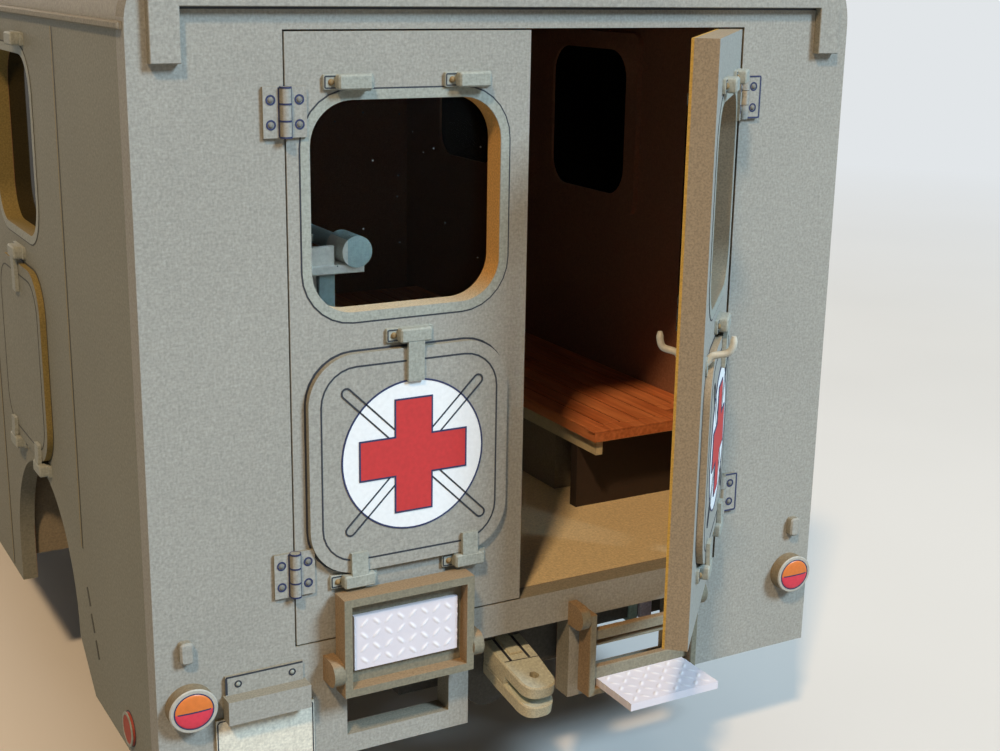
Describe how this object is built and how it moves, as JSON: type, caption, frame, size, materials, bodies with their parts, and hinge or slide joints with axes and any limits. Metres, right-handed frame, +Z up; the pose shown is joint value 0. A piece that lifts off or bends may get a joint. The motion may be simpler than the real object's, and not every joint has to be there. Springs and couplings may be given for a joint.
{
  "type": "card scale model of a military ambulance truck",
  "caption": "Card model of a forward-control military ambulance with a box body, hinged rear and cab doors, folding steps, a tow hook and free-turning wheels.",
  "frame": {"origin": "middle of the model's footprint on the ground it stands on, with the right rear door open as stored", "axes": "+Y towards the front of the vehicle, +X to its right, +Z up"},
  "size_m": [0.0782, 0.1638, 0.0817],
  "materials": {
    "khaki_card": "matt printed grey-khaki card",
    "tan_card": "matt tan card",
    "dark_card": "matt ochre-grey card",
    "clear_film": "clear glossy film",
    "lens_card": "printed red and orange card",
    "white_card": "matt white card",
    "tread_card": "printed tread plate on card",
    "handle_card": "painted rod",
    "bench_card": "printed red-brown wood card",
    "grey_card": "pale grey card",
    "tyre_card": "black painted card"
  },
  "bodies": {
    "body": {"rear_panel": "khaki_card", "side_left": "khaki_card", "side_right": "khaki_card", "box_roof": "khaki_card", "front_bulkhead": "khaki_card", "box_floor": "tan_card", "rear_wheel_wells": "tan_card", "gutters": "khaki_card", "side_glass": "clear_film", "side_shutters": "khaki_card", "side_clips": "khaki_card", "rear_door_left": "khaki_card", "door_glass_left": "clear_film", "door_shutter_left": "khaki_card", "door_clips_left": "khaki_card", "door_hinges": "khaki_card", "tail_lamps": "khaki_card", "tail_lenses": "lens_card", "marker_blocks": "khaki_card", "plate_holder": "khaki_card", "number_plate": "white_card", "side_reflectors": "lens_card", "step_left": "khaki_card", "step_right": "khaki_card", "step_treads": "tread_card", "chassis_tube": "dark_card", "tow_hook": "dark_card", "rear_axle": "dark_card", "front_axle": "dark_card", "engine_block": "dark_card", "cab_shell": "khaki_card", "cab_floor": "tan_card", "windscreen": "clear_film", "mirrors": "khaki_card", "cab_seats": "grey_card", "dashboard": "dark_card", "steering_wheel": "grey_card", "bumper": "khaki_card", "headlamps": "khaki_card", "bench": "bench_card", "bench_frame": "grey_card", "stretcher": "tan_card", "stretcher_rack": "grey_card"},
    "rear_door": {"rear_door_right": "khaki_card", "door_glass_right": "clear_film", "door_shutter_right": "khaki_card", "door_clips_right": "khaki_card", "door_handle": "handle_card"},
    "cab_door_l": {"cab_door_left": "khaki_card", "cab_glass_left": "clear_film"},
    "cab_door_r": {"cab_door_right": "khaki_card", "cab_glass_right": "clear_film"},
    "wheel_rear_left": {"tyre_rear_left": "tyre_card", "rim_rear_left": "khaki_card"},
    "wheel_rear_right": {"tyre_rear_right": "tyre_card", "rim_rear_right": "khaki_card"},
    "wheel_front_left": {"tyre_front_left": "tyre_card", "rim_front_left": "khaki_card"},
    "wheel_front_right": {"tyre_front_right": "tyre_card", "rim_front_right": "khaki_card"}
  },
  "joints": [
    {"name": "rear_door_hinge", "type": "hinge", "parent": "body", "child": "rear_door", "pos_m": [0.0221, -0.06603, 0.0492], "axis": [0, 0, 1], "range_deg": [-47.5, 60]},
    {"name": "cab_door_l_hinge", "type": "hinge", "parent": "body", "child": "cab_door_l", "pos_m": [-0.03465, 0.05509, 0.03695], "axis": [0, 0, -1], "range_deg": [0, 60]},
    {"name": "cab_door_r_hinge", "type": "hinge", "parent": "body", "child": "cab_door_r", "pos_m": [0.03465, 0.05509, 0.03695], "axis": [0, 0, 1], "range_deg": [0, 60]},
    {"name": "wheel_rear_left_spin", "type": "hinge", "parent": "body", "child": "wheel_rear_left", "pos_m": [-0.025, -0.02669, 0.0126], "axis": [1, 0, 0], "continuous": true},
    {"name": "wheel_rear_right_spin", "type": "hinge", "parent": "body", "child": "wheel_rear_right", "pos_m": [0.025, -0.02669, 0.0126], "axis": [1, 0, 0], "continuous": true},
    {"name": "wheel_front_left_spin", "type": "hinge", "parent": "body", "child": "wheel_front_left", "pos_m": [-0.025, 0.05772, 0.0126], "axis": [1, 0, 0], "continuous": true},
    {"name": "wheel_front_right_spin", "type": "hinge", "parent": "body", "child": "wheel_front_right", "pos_m": [0.025, 0.05772, 0.0126], "axis": [1, 0, 0], "continuous": true}
  ]
}
